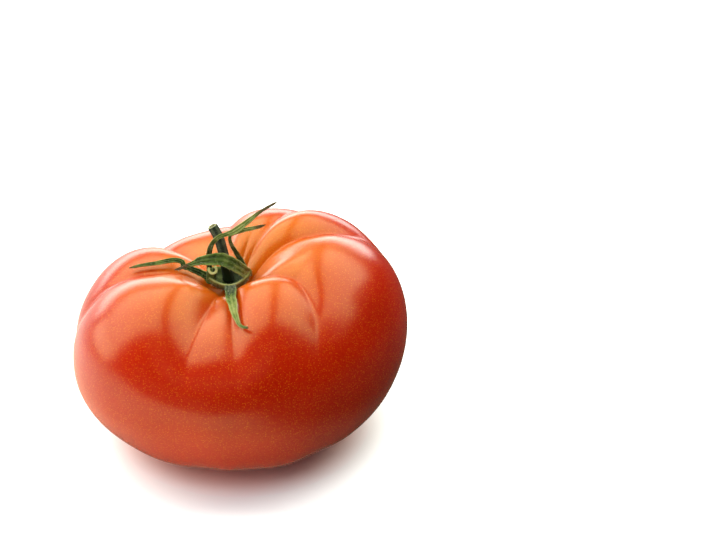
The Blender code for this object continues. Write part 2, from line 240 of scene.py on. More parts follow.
def smooth_step(low, high, value):
    t = np.clip((value - low) / (high - low), 0.0, 1.0)
    return t * t * (3.0 - 2.0 * t)


def unit(vectors):
    return vectors / np.linalg.norm(vectors, axis=-1, keepdims=True)


# Fruit

def around(column, angle):
    """One of the fruit's sizes at angles in degrees, blended from side to side."""
    sides = np.array(SIDES, float)
    nearness = np.cos(np.radians(angle[..., None] - sides[:, ANGLE])) - 1.0
    weights = np.exp(SIDE_BLEND * nearness)
    return (weights * sides[:, column]).sum(axis=-1) / weights.sum(axis=-1)


def quarter_arc(share, fullness):
    turn = share * math.pi / 2.0
    power = 2.0 / fullness
    return np.sin(turn) ** power, np.abs(np.cos(turn)) ** power


def smooth_profile(travel, angle):
    """Radius and height of the skin without creases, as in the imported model."""
    reach, waist = around(REACH, angle), around(WAIST, angle)
    crest_radius, crest_height = around(CREST_RADIUS, angle), around(CREST_HEIGHT, angle)
    rising, falling = quarter_arc(np.clip(travel, 0.0, 1.0), UNDERSIDE_FULLNESS)
    low_radius = REST_SPOT_RADIUS + (reach - REST_SPOT_RADIUS) * rising
    low_height = waist * (1.0 - falling)
    rising, falling = quarter_arc(np.clip(travel - 1.0, 0.0, 1.0), SHOULDER_FULLNESS)
    high_radius = crest_radius + (reach - crest_radius) * falling
    high_height = waist + (crest_height - waist) * rising
    down = np.clip(travel - 2.0, 0.0, 1.0)
    pit_radius = crest_radius + (PIT_FLOOR_RADIUS - crest_radius) * down
    pit_height = crest_height + (PIT_FLOOR_HEIGHT - crest_height) * down ** PIT_WALL_FULLNESS
    stages = [travel <= 1.0, travel <= 2.0]
    radius = np.select(stages, [low_radius, high_radius], pit_radius)
    height = np.select(stages, [low_height, high_height], pit_height)
    return radius, height


def crease_line(crease, travel):
    angle, _, _, _, bend = crease
    return angle + bend * np.clip((2.0 - travel) / CREASE_BEND_REACH, 0.0, 1.0)


def beside(crease, travel, angle):
    """How far from a crease's line, in degrees."""
    away = np.abs((angle - crease_line(crease, travel) + 180.0) % 360.0 - 180.0)
    return np.sqrt(away ** 2 + CREASE_ROUNDING ** 2) - CREASE_ROUNDING


def sunk(travel, angle):
    """How deep the creases pull the skin in, and how near the skin is to a crease, 0 to 1."""
    depth = np.zeros_like(travel)
    near = np.zeros_like(travel)
    eased = (1.0 - CREASE_LEFT_AT_FLOOR) * smooth_step(CREASE_EASES_FROM, 3.0, travel)
    under = smooth_step(*TRACE_STARTS, travel) * (1.0 - smooth_step(*TRACE_ENDS, travel))
    for crease in CREASES:
        _, full_depth, run, spread, _ = crease
        start = CREASE_SHORTEST_START - CREASE_LONGEST_RUN * run
        along = smooth_step(start, start + CREASE_FADE, travel) * (1.0 - eased)
        away = beside(crease, travel, angle)
        depth += full_depth * along * np.exp(-away / spread)
        if run > 0.0:
            depth += TRACE_DEPTH * under * np.exp(-(away / TRACE_SPREAD) ** 2)
        marked = along * np.exp(-away / CREASE_MARK_SPREAD) * min(full_depth / CREASE_MARK_FULL_DEPTH, 1.0)
        near = np.maximum(near, marked)
    return depth, near


def skin(travel, angle):
    """Places on the skin in millimetres, and how near each is to a crease."""
    radius, height = smooth_profile(travel, angle)
    ahead = smooth_profile(np.minimum(travel + SLOPE_STEP, 3.0), angle)
    behind = smooth_profile(np.maximum(travel - SLOPE_STEP, 0.0), angle)
    outward, upward = ahead[0] - behind[0], ahead[1] - behind[1]
    length = np.hypot(outward, upward)
    depth, near = sunk(travel, angle)
    radius = radius - depth * upward / length
    height = height + depth * outward / length
    lean = smooth_step(0.0, 1.0, height / around(CREST_HEIGHT, angle))
    x = radius * np.cos(np.radians(angle)) + PIT_CENTRE[0] * lean
    y = radius * np.sin(np.radians(angle)) + PIT_CENTRE[1] * lean
    return np.stack([x, y, height], axis=-1), near


def quads_over(index, closed=True):
    """Faces between rings of corners; closed joins the last corner of each ring to its first."""
    if closed:
        right = np.roll(index, -1, axis=1)
        corners = [index[:-1], right[:-1], right[1:], index[1:]]
    else:
        corners = [index[:-1, :-1], index[:-1, 1:], index[1:, 1:], index[1:, :-1]]
    return np.stack(corners, axis=-1).reshape(-1, 4).tolist()


def grid_mesh(name, places):
    """A mesh over closed rings of places in millimetres."""
    rings, columns = places.shape[:2]
    index = np.arange(rings * columns).reshape(rings, columns)
    mesh = bpy.data.meshes.new(name)
    mesh.from_pydata((places.reshape(-1, 3) * MM).tolist(), [], quads_over(index))
    return mesh


def wobble(places, scale, seed):
    """Soft noise at places, about -1 to 1."""
    flat = places.reshape(-1, 3) / scale + seed
    return np.array([noise.noise(place) for place in flat.tolist()]).reshape(places.shape[:-1])


def mark(mesh, name, values):
    layer = mesh.attributes.new(name, "FLOAT", "POINT")
    layer.data.foreach_set("value", np.asarray(values, np.float32).reshape(-1))


def shade_smooth(mesh):
    mesh.polygons.foreach_set("use_smooth", [True] * len(mesh.polygons))
    mesh.update()


def add(name, mesh, material, node):
    item = bpy.data.objects.new(name, mesh)
    bpy.context.scene.collection.objects.link(item)
    mesh.materials.append(material)
    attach(item, "root")
    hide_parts(node)
    return item


def build_fruit(material):
    travel = np.concatenate([
        np.linspace(0.0, 1.0, FINE_UNDERSIDE_RINGS, endpoint=False),
        np.linspace(1.0, 2.0, FINE_SHOULDER_RINGS, endpoint=False),
        np.linspace(2.0, 3.0, FINE_PIT_RINGS),
    ])
    angle = np.arange(FINE_COLUMNS) * 360.0 / FINE_COLUMNS
    travel, angle = np.meshgrid(travel, angle, indexing="ij")
    places, near = skin(travel, angle)
    inner = np.linspace(SPOT_INNERMOST, 1.0, FINE_SPOT_RINGS, endpoint=False)[:, None, None]
    spot = places[:1] * inner
    from_scar = np.broadcast_to(inner[..., 0] * REST_SPOT_RADIUS, (FINE_SPOT_RINGS, FINE_COLUMNS))
    dimple = SCAR_DIMPLE * np.clip(1.0 - (from_scar / SCAR_DIMPLE_RADIUS) ** 2, 0.0, 1.0) ** 2
    turn = np.radians(angle[:1])
    (points_size, points), (teeth_size, teeth) = STAR_WAVES
    star = SCAR_RADIUS * (1.0 + points_size * np.cos(points * turn) + teeth_size * np.cos(teeth * turn))
    cork = 1.0 - smooth_step(*SCAR_EDGE, from_scar / star)
    spot[..., 2] = dimple - SCAR_RISE * cork
    pit_middle = places[-1:].mean(axis=1, keepdims=True)
    floor = pit_middle + (places[-1:] - pit_middle) * PIT_END_SIZE
    out = unit(places - np.array(FRUIT_MIDDLE))
    body = smooth_step(*UNEVEN_STARTS, travel) * (1.0 - smooth_step(*UNEVEN_ENDS, travel))
    uneven = UNEVEN_HEIGHT * wobble(places, UNEVEN_SCALE, UNEVEN_SEED)
    places = places + out * (uneven * body)[..., None]
    whole = np.concatenate([spot, places, floor], axis=0)
    zeros = np.zeros((FINE_SPOT_RINGS, FINE_COLUMNS))
    mesh = grid_mesh("fruit_skin", whole)
    mark(mesh, "crease", np.concatenate([zeros, near, near[-1:]]))
    mark(mesh, "travel", np.concatenate([zeros, travel, travel[-1:]]))
    mark(mesh, "cork", np.concatenate([cork, np.zeros_like(travel), zeros[:1]]))
    shade_smooth(mesh)
    add("fruit_skin", mesh, material, "fruit")


# Calyx and stalk

def spline(points, steps):
    """A smooth line through points of any size, with steps to each span."""
    points = [np.array(point, float) for point in points]
    ends = [2 * points[0] - points[1]] + points + [2 * points[-1] - points[-2]]
    line = []
    for before, start, end, after in zip(ends, ends[1:], ends[2:], ends[3:]):
        for step in range(steps):
            t = step / steps
            line.append(0.5 * (2 * start + (end - before) * t
                               + (2 * before - 5 * start + 4 * end - after) * t * t
                               + (3 * start - before - 3 * end + after) * t ** 3))
    line.append(points[-1])
    return np.array(line)


def along_list(values, shares):
    """Values part-way along a list, shares running 0 to 1."""
    values = np.array(values, float)
    places = np.asarray(shares) * (len(values) - 1)
    marks = np.arange(len(values))
    if values.ndim == 1:
        return np.interp(places, marks, values)
    return np.stack([np.interp(places, marks, column) for column in values.T], axis=-1)


def frames(line, facings):
    """Side and face directions at each place on a line."""
    middle = line[:, :3]
    along = unit(np.gradient(middle, axis=0))
    facing = along_list(facings, np.linspace(0.0, 1.0, len(line)))
    side = unit(np.cross(along, facing))
    return middle, side, unit(np.cross(side, along))


def sweep(line, facings, sections):
    """Rings of places: each section is a list of across and rise, one list for each place on the line."""
    middle, side, face = frames(line, facings)
    across, rise = sections[..., 0:1], sections[..., 1:2]
    return middle[:, None] + side[:, None] * across + face[:, None] * rise


class Gathered:
    """Meshes and their marks, gathered into one."""

    def __init__(self):
        self.places = []
        self.faces = []
        self.marks = {}
        self.count = 0

    def take(self, rings, closed=True, **marks):
        """Adds rings of places; each mark is a number or an array over the rings."""
        shape = rings.shape[:2]
        index = self.count + np.arange(shape[0] * shape[1]).reshape(shape)
        self.places.append(rings.reshape(-1, 3))
        self.faces.extend(quads_over(index, closed))
        for name, value in marks.items():
            value = np.broadcast_to(np.asarray(value, float), shape)
            self.marks.setdefault(name, []).append(value.reshape(-1))
        self.count += shape[0] * shape[1]

    def mesh(self, name):
        mesh = bpy.data.meshes.new(name)
        mesh.from_pydata((np.concatenate(self.places) * MM).tolist(), [], self.faces)
        for key, values in self.marks.items():
            mark(mesh, key, np.concatenate(values))
        shade_smooth(mesh)
        return mesh


def blade_sections(width, share, seed):
    """Outlines across a sepal from root to tip: ribbed on top, keeled below and thin at the edges."""
    half = np.linspace(-1.0, 1.0, BLADE_COLUMNS)
    taper = np.clip((1.0 - share) / BLADE_TIP_LENGTH, BLADE_TIP_SIZE, 1.0)[:, None] ** 0.6
    (sway, sways), (swell, swells) = BLADE_WAVES
    swaying = sway * np.sin(share * sways + seed)[:, None] * np.sign(half)
    ripple = 1.0 + swaying + swell * np.sin(share * swells + seed)[:, None]
    across = half * width[:, None] / 2.0 * taper * ripple
    dip = BLADE_CHANNEL * width[:, None] * (half ** 2 - 0.5)
    ridge_size = np.clip(width[:, None] / BLADE_FULL_RIDGE_WIDTH, 0.25, 1.0)
    ridge = BLADE_RIDGE * np.cos(half * 2.5 * math.pi) * ridge_size * (1.0 - half ** 2)
    thick = (BLADE_EDGE + (BLADE_THICKNESS - BLADE_EDGE) * (1.0 - half ** 2)) * taper
    upper = np.stack([across, dip + thick / 2.0 + ridge], axis=-1)
    lower = np.stack([across, dip - thick / 2.0 - BLADE_KEEL_SHARE * ridge], axis=-1)
    return np.concatenate([upper, lower[:, ::-1]], axis=1)


def take_blade(gathered, shape, seed):
    points, facings, tones, browned, root_brown = shape
    line = spline(points, BLADE_STEPS)
    share = np.linspace(0.0, 1.0, len(line))
    rings = sweep(line, facings, blade_sections(line[:, 3], share, seed))
    tip = rings[-1:].mean(axis=1, keepdims=True)
    rings = np.concatenate([rings, tip + (rings[-1:] - tip) * BLADE_LAST_RING])
    share = np.append(share, 1.0)[:, None]
    half = np.linspace(-1.0, 1.0, BLADE_COLUMNS)
    across = np.concatenate([half, half[::-1]])[None]
    # under marks each sepal's lower face, which the material paints darker as painted shade
    under = np.concatenate([np.zeros(BLADE_COLUMNS), np.ones(BLADE_COLUMNS)])[None]
    dry = smooth_step(browned - 0.04, browned + 0.06, share)
    brown = root_brown * (1.0 - smooth_step(*BROWN_ROOT, share))
    tone = along_list(tones, share[:, 0])[:, None]
    gathered.take(rings, tone=tone, dry=dry, brown=brown, across=across, under=under, pale=0.0, deep=0.0)


def take_cup(gathered):
    profile = spline(CUP_PROFILE, CUP_STEPS)
    turn = np.arange(CUP_COLUMNS) * 2.0 * math.pi / CUP_COLUMNS
    radius = profile[:, 0:1] * (1.0 + 0.02 * np.cos(5.0 * turn + 0.6) + 0.008 * np.cos(17.0 * turn))
    up_the_wall = smooth_step(CUP_PROFILE[0][1], CUP_PROFILE[4][1], profile[:, 1:2])
    height = profile[:, 1:2] + CUP_SIDE_RISE * up_the_wall * np.cos(turn) ** 2
    x = PIT_CENTRE[0] + radius * np.cos(turn)
    y = PIT_CENTRE[1] + radius * np.sin(turn) * CUP_FLATTENING
    rings = np.stack([x, y, height], axis=-1)
    share = np.linspace(0.0, 1.0, len(profile))[:, None]
    rim = np.exp(-((share - CUP_RIM_PLACE) / CUP_RIM_WIDTH) ** 2)
    front = np.clip(-np.sin(turn), 0.0, 1.0) ** 2
    left = np.clip(-np.cos(turn), 0.0, 1.0)
    right = np.clip(np.cos(turn), 0.0, 1.0) ** 4
    gathered.take(
        # Painted light: the cup is painted lighter on its left side, where the stronger light falls
        rings, tone=0.22 + 0.35 * rim * front + 0.2 * left, dry=0.0, across=0.0, under=0.0,
        # The brown on the right is the sepal root's own colour; the brown below the front of the rim is
        # painted shadow
        brown=0.6 * (1.0 - rim) * front * (share < CUP_INSIDE_STARTS) + 0.5 * right,
        pale=0.8 * rim * front,
        # Painted shade: deep paints the inside of the cup near black, less on its left
        deep=smooth_step(CUP_INSIDE_STARTS, CUP_INSIDE_FULL, share) * (1.0 - 0.45 * left),
    )


def take_stub(gathered):
    line = spline(STUB_LINE, STUB_STEPS)
    half = math.radians(STUB_OPENING / 2.0)
    turn = math.pi / 2.0 + half + (2.0 * math.pi - 2.0 * half) * np.linspace(0.0, 1.0, STUB_SEGMENTS)
    rim = np.stack([np.cos(turn), np.sin(turn)], axis=-1)
    radius = line[:, 3][:, None, None]
    ragged = 1.0 + 0.03 * np.sin(5.0 * turn)[None, :, None]
    sections = np.concatenate([rim * radius * ragged, rim[::-1] * (radius - STUB_WALL) * ragged], axis=1)
    rings = sweep(line, STUB_FACINGS, sections)
    outer, inner = rings[-1, :STUB_SEGMENTS], rings[-1, STUB_SEGMENTS:][::-1]
    middle = (outer + inner) / 2.0 + np.array([0.0, -0.1, 0.1])
    inside = np.concatenate([np.zeros(STUB_SEGMENTS), np.ones(STUB_SEGMENTS)])[None]
    end = smooth_step(0.9, 1.0, np.linspace(0.0, 1.0, len(line)))[:, None]
    plain = {"dry": 0.0, "brown": 0.0, "across": 0.0, "under": 0.0}
    # Painted shade: deep paints the inner face of the rolled stub near black, short of its cut end
    gathered.take(rings, tone=0.35, **plain, pale=end, deep=inside * (1.0 - end))
    cap = np.stack([outer, middle, inner])
    gathered.take(cap, closed=False, tone=0.8, **plain, pale=1.2, deep=0.0)


def build_calyx(material):
    gathered = Gathered()
    take_cup(gathered)
    for seed, shape in enumerate(SEPALS.values()):
        take_blade(gathered, shape, 1.7 * seed)
    take_stub(gathered)
    return add("fine_calyx", gathered.mesh("fine_calyx"), material, "calyx")


def build_stalk(material):
    gathered = Gathered()
    line = spline(STALK_LINE, STALK_STEPS)
    turn = np.arange(STALK_SEGMENTS) * 2.0 * math.pi / STALK_SEGMENTS
    share = np.linspace(0.0, 1.0, len(line))
    rib = np.cos(STALK_RIBS * turn + 2.0 * share[:, None])
    ribs = 1.0 + STALK_RIB_HEIGHT * rib / line[:, 3:4]
    swelling = 1.0 + 0.02 * np.sin(share * 19.0)[:, None]
    round_off = 1.0 - 0.10 * smooth_step(0.965, 1.0, share)[:, None]
    radius = line[:, 3:4] * ribs * swelling * round_off
    sections = np.stack([radius * np.cos(turn), radius * np.sin(turn)], axis=-1)
    rings = sweep(line, [(0.0, -1.0, 0.0), (0.0, -1.0, 0.0)], sections)
    # Painted shade: low paints the stalk's foot inside the cup near black
    low = 1.0 - smooth_step(*STALK_SHADED_PART, line[:, 2:3])
    gathered.take(rings, cut=0.0, inside=0.0, low=low, rib=rib)
    end = rings[-1]
    middle = end.mean(axis=0)
    back = unit(line[-2, :3] - line[-1, :3])
    rough = 0.05 * wobble(end[None], 0.5, 3.1)[0][:, None]
    cap = []
    for size, depth, _, _ in STALK_CUT:
        cap.append(middle + (end - middle) * size + back * (depth + rough * (size < 0.95)))
    cut, inside = np.array(STALK_CUT)[:, 2:3], np.array(STALK_CUT)[:, 3:4]
    gathered.take(np.stack(cap), cut=cut, inside=inside, low=0.0, rib=0.0)
    return add("fine_stalk", gathered.mesh("fine_stalk"), material, "stalk")


def build_hairs(item, node, material):
    """Short tapering hairs standing on a piece."""
    rng = np.random.default_rng(HAIR_SEED)
    mesh = item.data
    bare = np.zeros(len(mesh.vertices), np.float32)
    mesh.attributes[BARE_MARKS[node]].data.foreach_get("value", bare)
    chances = np.array([polygon.area * (1.0 - bare[polygon.vertices[0]]) for polygon in mesh.polygons])
    chances = np.maximum(chances, 0.0)
    chosen = rng.choice(len(chances), HAIRS[item.name], p=chances / chances.sum())
    places = []
    faces = []
    for index in chosen.tolist():
        polygon = mesh.polygons[index]
        root = np.array(polygon.center) / MM
        lean = np.array(polygon.normal) + rng.normal(0.0, HAIR_SCATTER, 3) + np.array([0.0, 0.0, -HAIR_DROOP])
        lean /= np.linalg.norm(lean)
        side = unit(np.cross(lean, [0.3, 0.5, 0.8]))
        other = np.cross(lean, side)
        length = rng.uniform(*HAIR_LENGTH)
        start = len(places)
        for share, size in HAIR_RINGS:
            bend = side * HAIR_BEND * share * share * length
            for turn in HAIR_TURNS:
                ring = (side * math.cos(turn) + other * math.sin(turn)) * HAIR_RADIUS * size
                places.append(root + lean * length * share + bend + ring)
        places.append(root + lean * length + side * HAIR_BEND * length)
        for here in range(3):
            there = (here + 1) % 3
            faces.append((start + here, start + there, start + 3 + there, start + 3 + here))
            faces.append((start + 3 + here, start + 3 + there, start + 6))
    hairs = bpy.data.meshes.new(item.name + "_hairs")
    hairs.from_pydata((np.array(places) * MM).tolist(), [], faces)
    shade_smooth(hairs)
    add(item.name + "_hairs", hairs, material, node)


# Materials

class Nodes:
    """Short calls for making a material's nodes."""

    def __init__(self, name):
        self.material = bpy.data.materials.new(name)
        self.material.use_nodes = True
        self.tree = self.material.node_tree
        self.shader = self.tree.nodes["Principled BSDF"]

    def new(self, kind, inputs=(), **settings):
        node = self.tree.nodes.new(kind)
        for key, value in settings.items():
            setattr(node, key, value)
        for key, value in dict(inputs).items():
            self.put(node.inputs[key], value)
        return node

    def put(self, socket, value):
        if isinstance(value, bpy.types.NodeSocket):
            self.tree.links.new(value, socket)
        else:
            socket.default_value = value

    def attribute(self, name):
        return self.new("ShaderNodeAttribute", attribute_name=name).outputs["Fac"]

    def place(self):
        return self.new("ShaderNodeTexCoord").outputs["Object"]

    def math(self, operation, a, b=0.0, clamp=False):
        return self.new("ShaderNodeMath", {0: a, 1: b}, operation=operation, use_clamp=clamp).outputs[0]

    def spread(self, value, low, high, to_low=0.0, to_high=1.0):
        inputs = {"Value": value, "From Min": low, "From Max": high, "To Min": to_low, "To Max": to_high}
        return self.new("ShaderNodeMapRange", inputs, interpolation_type="SMOOTHSTEP").outputs["Result"]

    def noise(self, scale, detail=2.0):
        inputs = {"Vector": self.place(), "Scale": scale, "Detail": detail, "Roughness": 0.5}
        return self.new("ShaderNodeTexNoise", inputs).outputs["Fac"]

    def mix(self, share, a, b):
        node = self.new("ShaderNodeMix", data_type="RGBA")
        self.put(node.inputs["Factor"], share)
        self.put(node.inputs[6], a)
        self.put(node.inputs[7], b)
        return node.outputs[2]

    def bump(self, height, distance, strength, normal=None):
        inputs = {"Height": height, "Distance": distance, "Strength": strength}
        if normal is not None:
            inputs["Normal"] = normal
        return self.new("ShaderNodeBump", inputs).outputs["Normal"]


# Colours are linear, and noise scales are patches to a metre: larger is finer
SKIN_RED = (0.365, 0.0062, 0.0003, 1.0)
SKIN_DEEP = (0.31, 0.0042, 0.0002, 1.0)
SKIN_PIT = (0.455, 0.100, 0.0020, 1.0)
SKIN_MOTTLED = (0.42, 0.034, 0.0010, 1.0)
SKIN_CREASE = (0.35, 0.012, 0.0004, 1.0)
SKIN_GRAIN = (0.46, 0.027, 0.0008, 1.0)
SKIN_DOT = (0.70, 0.17, 0.006, 1.0)
CORK_DARK = (0.13, 0.055, 0.02, 1.0)
CORK_LIGHT = (0.34, 0.20, 0.09, 1.0)
MOTTLED_SCALE = 620.0
GRAIN_SCALE = 2400.0
DOT_SCALE = 2300.0
LEAF_DARK = (0.012, 0.028, 0.006, 1.0)
LEAF_MIDDLE = (0.072, 0.118, 0.021, 1.0)
LEAF_LIGHT = (0.27, 0.31, 0.095, 1.0)
LEAF_PALE = (0.68, 0.70, 0.28, 1.0)
# Brown of the sepal roots, also used as painted shadow below the cup's front rim
LEAF_BROWN_AND_SHADOW = (0.19, 0.11, 0.022, 1.0)
LEAF_DRY = (0.07, 0.042, 0.018, 1.0)
# Painted shade inside the cup and the rolled stub
LEAF_PAINTED_SHADE = (0.010, 0.022, 0.003, 1.0)
STALK_DARK = (0.018, 0.030, 0.019, 1.0)
STALK_LIGHT = (0.070, 0.095, 0.055, 1.0)
# Painted shade on the stalk's foot inside the cup
STALK_PAINTED_SHADE = (0.007, 0.014, 0.003, 1.0)
CUT_LIGHT = (0.45, 0.47, 0.26, 1.0)
CUT_DULL = (0.30, 0.33, 0.16, 1.0)
CORE_DARK = (0.03, 0.028, 0.012, 1.0)
CORE_LIGHT = (0.18, 0.17, 0.08, 1.0)
HAIR_DULL = (0.34, 0.38, 0.20, 1.0)
HAIR_LIGHT = (0.50, 0.52, 0.34, 1.0)


def skin_material():
    n = Nodes("tomato_skin")
    travel = n.attribute("travel")
    crease = n.attribute("crease")
    uneven = n.spread(n.noise(45.0, 2.0), 0.25, 0.75, -0.12, 0.12)
    to_pit = n.spread(n.math("ADD", travel, uneven), 1.5, 2.25)
    colour = n.mix(n.spread(n.noise(38.0), 0.3, 0.75), SKIN_RED, SKIN_DEEP)
    colour = n.mix(to_pit, colour, SKIN_PIT)
    mottled = n.spread(n.noise(MOTTLED_SCALE, 3.0), 0.35, 0.7, 0.0, 0.14)
    colour = n.mix(mottled, colour, SKIN_MOTTLED)
    colour = n.mix(n.math("MULTIPLY", crease, 0.6), colour, SKIN_CREASE)
    grain = n.noise(GRAIN_SCALE, 2.0)
    colour = n.mix(n.spread(grain, 0.35, 0.7, 0.0, 0.35), colour, SKIN_GRAIN)
    dots = n.new("ShaderNodeTexVoronoi", {"Vector": n.place(), "Scale": DOT_SCALE, "Randomness": 1.0})
    dot = n.spread(dots.outputs["Distance"], 0.50, 0.12)
    each = n.new("ShaderNodeSeparateColor", {"Color": dots.outputs["Color"]}).outputs["Red"]
    dot = n.math("MULTIPLY", dot, n.spread(each, 0.15, 1.0))
    colour = n.mix(n.math("MULTIPLY", dot, 0.48), colour, SKIN_DOT)
    cork = n.attribute("cork")
    corky = n.mix(n.spread(n.noise(1100.0, 4.0), 0.35, 0.65), CORK_DARK, CORK_LIGHT)
    colour = n.mix(cork, colour, corky)
    n.put(n.shader.inputs["Base Color"], colour)
    n.shader.inputs["Subsurface Weight"].default_value = 0.2
    n.shader.inputs["Subsurface Radius"].default_value = (1.0, 0.25, 0.1)
    n.shader.inputs["Subsurface Scale"].default_value = 0.004
    n.shader.inputs["Specular IOR Level"].default_value = 0.55
    n.shader.inputs["Specular Tint"].default_value = (1.0, 0.95, 0.5, 1.0)
    n.shader.inputs["IOR"].default_value = 1.45
    rough = n.spread(n.noise(300.0), 0.3, 0.7, 0.23, 0.26)
    n.put(n.shader.inputs["Roughness"], n.math("ADD", rough, n.math("MULTIPLY", cork, 0.5)))
    fine = n.bump(grain, 0.00002, 1.0)
    crust = n.math("MULTIPLY", n.noise(1400.0, 4.0), cork)
    n.put(n.shader.inputs["Normal"], n.bump(crust, 0.0003, 1.0, fine))
    return n.material


def leaf_material():
    n = Nodes("sepal_green")
    across = n.attribute("across")
    under = n.attribute("under")
    stripes = n.math("COSINE", n.math("MULTIPLY", across, 7.85))
    edge = n.spread(n.math("ABSOLUTE", across), 0.75, 1.0)
    patches = n.spread(n.noise(500.0, 3.0), 0.35, 0.65, -0.15, 0.15)
    light = n.math("ADD", n.attribute("tone"), n.math("MULTIPLY", stripes, 0.10))
    light = n.math("ADD", light, patches)
    light = n.math("ADD", light, n.math("MULTIPLY", edge, 0.42))
    # Painted shade: the lower face of each sepal is painted darker
    light = n.math("SUBTRACT", light, n.math("MULTIPLY", under, 0.45), clamp=True)
    ramp = n.new("ShaderNodeValToRGB", {"Fac": light})
    stops = ramp.color_ramp.elements
    stops[0].color = LEAF_DARK
    stops[1].color = LEAF_LIGHT
    middle = stops.new(0.45)
    middle.color = LEAF_MIDDLE
    pale = n.math("MULTIPLY", n.attribute("pale"), 0.85, clamp=True)
    colour = n.mix(pale, ramp.outputs["Color"], LEAF_PALE)
    # brown paints the sepal roots' own brown, and painted shadow on the cup below its front rim
    brown = n.math("MULTIPLY", n.attribute("brown"), n.spread(n.noise(900.0, 3.0), 0.3, 0.6, 0.35, 0.9))
    colour = n.mix(brown, colour, LEAF_BROWN_AND_SHADOW)
    colour = n.mix(n.math("MULTIPLY", n.attribute("dry"), 0.85), colour, LEAF_DRY)
    # Painted shade: deep paints the inside of the cup and of the rolled stub near black
    colour = n.mix(n.attribute("deep"), colour, LEAF_PAINTED_SHADE)
    n.put(n.shader.inputs["Base Color"], colour)
    n.put(n.shader.inputs["Roughness"], n.spread(n.noise(300.0), 0.3, 0.7, 0.55, 0.7))
    n.shader.inputs["Specular IOR Level"].default_value = 0.08
    n.shader.inputs["Subsurface Weight"].default_value = 0.1
    n.shader.inputs["Subsurface Radius"].default_value = (0.4, 0.6, 0.1)
    n.shader.inputs["Subsurface Scale"].default_value = 0.0008
    n.shader.inputs["Sheen Weight"].default_value = 0.05
    grain = n.bump(n.noise(2600.0, 3.0), 0.00006, 0.5)
    n.put(n.shader.inputs["Normal"], n.bump(stripes, 0.00008, 0.6, grain))
    return n.material


def stalk_material():
    n = Nodes("stalk_green")
    patches = n.noise(420.0, 4.0)
    rib = n.math("MULTIPLY", n.attribute("rib"), 0.2)
    colour = n.mix(n.spread(n.math("ADD", patches, rib), 0.3, 0.75), STALK_DARK, STALK_LIGHT)
    cut = n.mix(n.spread(n.noise(1500.0), 0.35, 0.6), CUT_LIGHT, CUT_DULL)
    # The dark core: partly its own brown, partly painted shade in the sunk hollow of the cut end
    core = n.mix(n.spread(n.noise(2200.0), 0.45, 0.6), CORE_DARK, CORE_LIGHT)
    cut = n.mix(n.attribute("inside"), cut, core)
    colour = n.mix(n.attribute("cut"), colour, cut)
    # Painted shade: low paints the stalk's foot inside the cup near black
    colour = n.mix(n.attribute("low"), colour, STALK_PAINTED_SHADE)
    n.put(n.shader.inputs["Base Color"], colour)
    n.put(n.shader.inputs["Roughness"], n.spread(n.noise(300.0), 0.3, 0.7, 0.5, 0.7))
    n.shader.inputs["Specular IOR Level"].default_value = 0.15
    n.shader.inputs["Sheen Weight"].default_value = 0.05
    n.put(n.shader.inputs["Normal"], n.bump(n.noise(1800.0, 4.0), 0.00008, 0.6))
    return n.material


def hair_material():
    n = Nodes("pale_hair")
    n.put(n.shader.inputs["Base Color"], n.mix(n.noise(600.0), HAIR_DULL, HAIR_LIGHT))
    n.shader.inputs["Roughness"].default_value = 0.45
    return n.material


# Studio, in metres

WHITE = (0.92, 0.92, 0.92, 1.0)
WARM = (1.0, 0.94, 0.78)
FLOOR_RADIUS = 0.75
CIRCLE_CORNERS = 96
BACKDROP_RADIUS = 3.5
BACKDROP_GLOW = 1.1
BOX_HEIGHT = 0.60
# The outline in which the right box is seen in the skin, and how bright it is there
BOX_OUTLINE = [
    (0.06, -0.1), (0.92, -0.1), (0.80, 0.03), (0.52, 0.12), (0.66, 0.38), (1.0, 0.85),
    (0.06, 0.85),
]
BOX_GLOW = 4.0


def floor_material():
    """A matt white floor as the camera sees it, with a painted red bounce close to the fruit and a painted
    glow that brightens it away from the fruit.
    """
    n = Nodes("floor_with_painted_light")
    far = n.new("ShaderNodeVectorMath", {0: n.place()}, operation="LENGTH").outputs["Value"]
    # Painted light: a red cast near the fruit stands for light the skin bounces onto the floor
    colour = n.mix(n.spread(far, 0.026, 0.042), (0.92, 0.64, 0.60, 1.0), WHITE)
    n.put(n.shader.inputs["Base Color"], colour)
    n.shader.inputs["Roughness"].default_value = 0.9
    n.shader.inputs["Specular IOR Level"].default_value = 0.2
    # Painted glow, bluish against the warm lamps, rising away from the fruit so the shadow's outer part turns
    # white
    n.shader.inputs["Emission Color"].default_value = (0.72, 0.88, 1.0, 1.0)
    n.put(n.shader.inputs["Emission Strength"], n.spread(far, 0.03, 0.054, 0.0, 0.45))
    return n.material


def floor_bounce():
    """The floor's light on the skin's own colour, weaker to the right."""
    n = Nodes("floor_bounce")
    across = n.new("ShaderNodeSeparateXYZ", {"Vector": n.place()}).outputs["X"]
    colour = n.mix(n.spread(across, 0.0, 0.07), WHITE, (0.10, 0.10, 0.10, 1.0))
    n.put(n.shader.inputs["Base Color"], colour)
    n.shader.inputs["Roughness"].default_value = 1.0
    n.shader.inputs["Specular IOR Level"].default_value = 0.0
    return n.material


